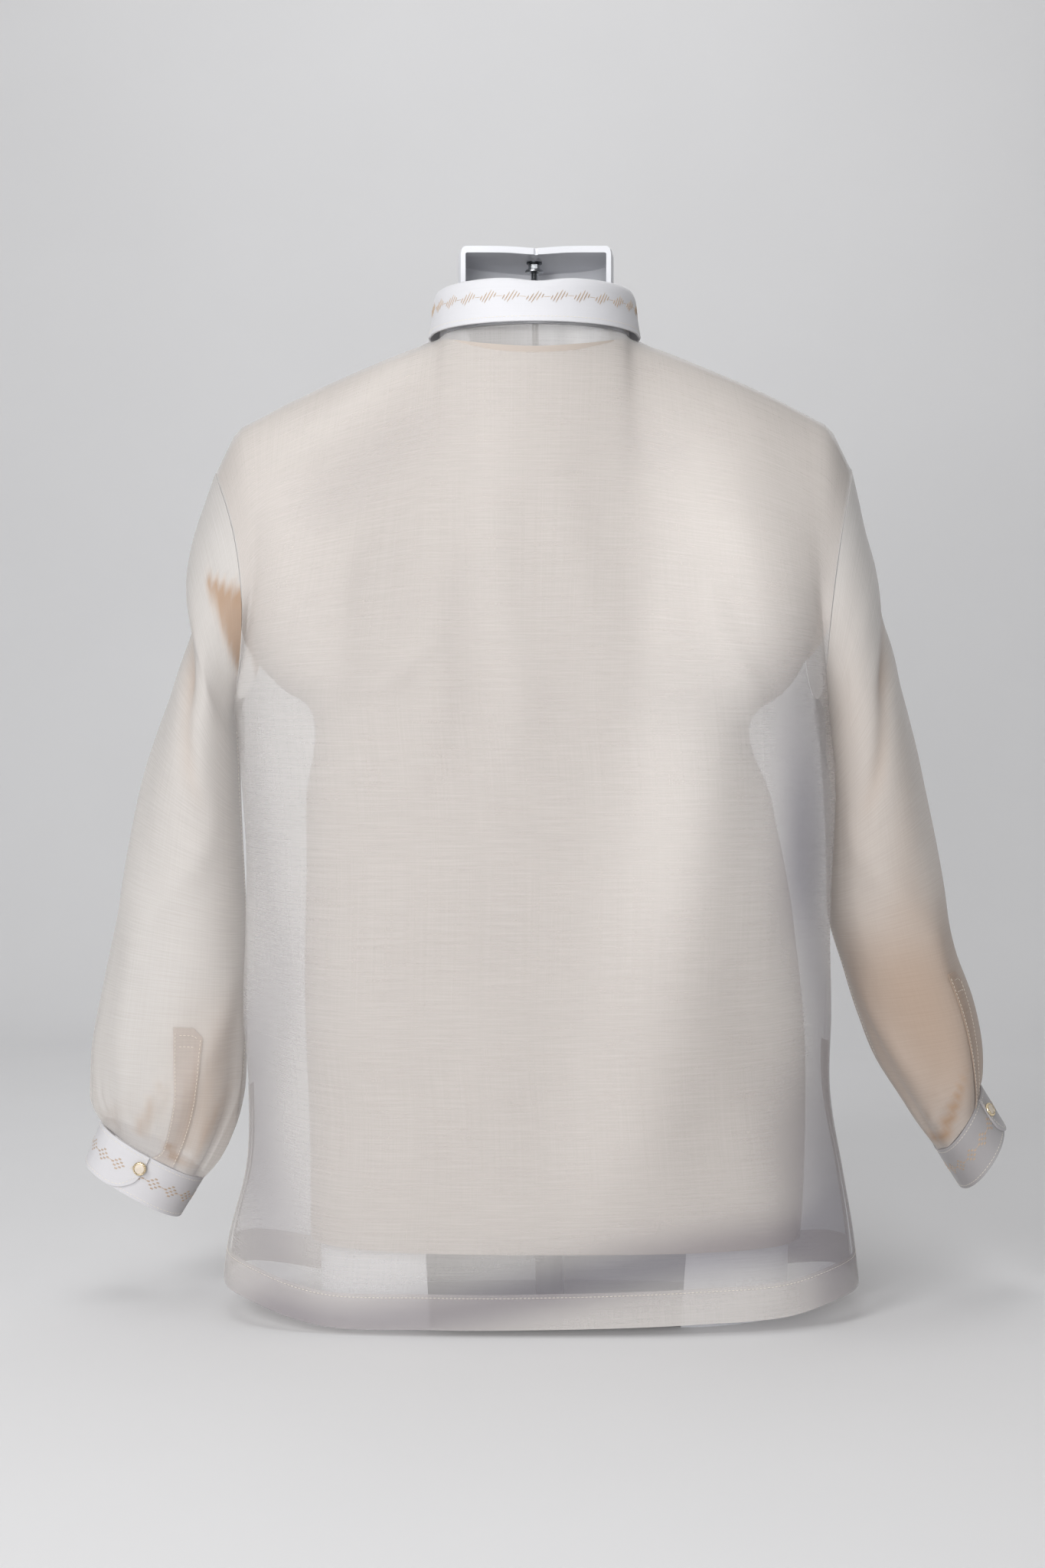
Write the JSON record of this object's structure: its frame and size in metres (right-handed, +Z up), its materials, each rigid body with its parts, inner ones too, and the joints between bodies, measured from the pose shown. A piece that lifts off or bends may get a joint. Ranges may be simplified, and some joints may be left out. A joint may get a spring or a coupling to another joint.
{
  "type": "barong tagalog shirt on torso form",
  "caption": "Sheer long-sleeved barong shirt with folded collar, buttoned cuffs, side vents and an inner layer, worn by a hollow-backed limbless torso form.",
  "frame": {"origin": "on the surface the torso form stands on, under the middle of the whole part's box", "axes": "+Z up; the shirt's back faces -Y and its buttoned front faces +Y; +X is the wearer's right"},
  "size_m": [0.7252, 0.2273, 0.8158],
  "materials": {
    "sheer_cloth": "thin slubbed leaf-fibre weave",
    "folded_cloth": "double and triple layers of the sheer weave",
    "lining_cloth": "plain cream cotton",
    "collar_cloth": "stiffened weave with embroidered diamonds",
    "cuff_cloth": "stiffened weave with embroidered diamonds",
    "button": "gilt rim, matt middle",
    "form_plastic": "satin",
    "steel": "plated",
    "post_paint": "satin"
  },
  "bodies": {
    "root": {"back": "sheer_cloth", "front_left": "sheer_cloth", "front_right": "sheer_cloth", "front_placket": "folded_cloth", "sleeve_left": "sheer_cloth", "sleeve_right": "sheer_cloth", "sleeve_placket_left": "folded_cloth", "sleeve_placket_right": "folded_cloth", "cuff_left": "cuff_cloth", "cuff_right": "cuff_cloth", "button_cuff_left": "button", "button_cuff_right": "button", "button_front_1": "button", "button_front_2": "button", "button_front_3": "button", "button_front_4": "button", "button_front_5": "button", "collar_stand": "collar_cloth", "collar_fall": "collar_cloth", "hem_back": "folded_cloth", "hem_front_left": "folded_cloth", "hem_front_right": "folded_cloth", "vent_facing_back_left": "folded_cloth", "vent_facing_back_right": "folded_cloth", "vent_facing_front_left": "folded_cloth", "vent_facing_front_right": "folded_cloth", "lining_back": "lining_cloth", "lining_front": "lining_cloth", "torso_form": "form_plastic", "post": "post_paint", "rod": "steel", "spacer": "steel", "nut": "steel", "washer": "steel"}
  },
  "joints": []
}
